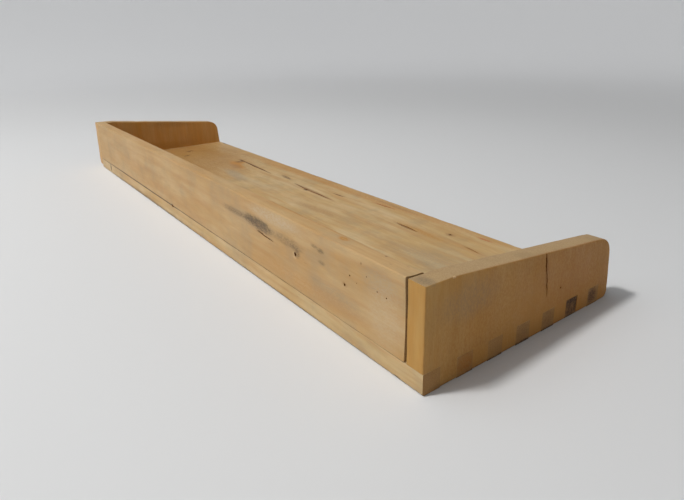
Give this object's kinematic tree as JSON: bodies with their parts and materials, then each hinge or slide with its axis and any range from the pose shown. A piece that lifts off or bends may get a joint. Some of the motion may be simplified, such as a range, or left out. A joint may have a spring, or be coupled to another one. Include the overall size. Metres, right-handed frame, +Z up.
{
  "type": "wall shelf",
  "caption": "Long shallow wooden shelf with a raised back board and two sloping end cheeks finger-jointed to the base, for standing small things on.",
  "frame": {"origin": "on the underside, at the middle of the length and of the depth", "axes": "+X along the shelf (the left cheek, seen from the open front, is at -X), +Y to the wall, +Z up"},
  "size_m": [0.76, 0.21, 0.073],
  "materials": {
    "base_wood": "old satin varnish, worn",
    "back_wood": "old satin varnish, worn",
    "cheek_wood": "old satin varnish, worn",
    "screw_steel": "dull, slightly rusty"
  },
  "bodies": {
    "root": {"base_board": "base_wood", "back_board": "back_wood", "left_cheek": "cheek_wood", "right_cheek": "cheek_wood", "back_screw_1": "screw_steel", "back_screw_2": "screw_steel", "back_screw_3": "screw_steel", "back_screw_4": "screw_steel", "back_screw_5": "screw_steel"}
  },
  "joints": []
}
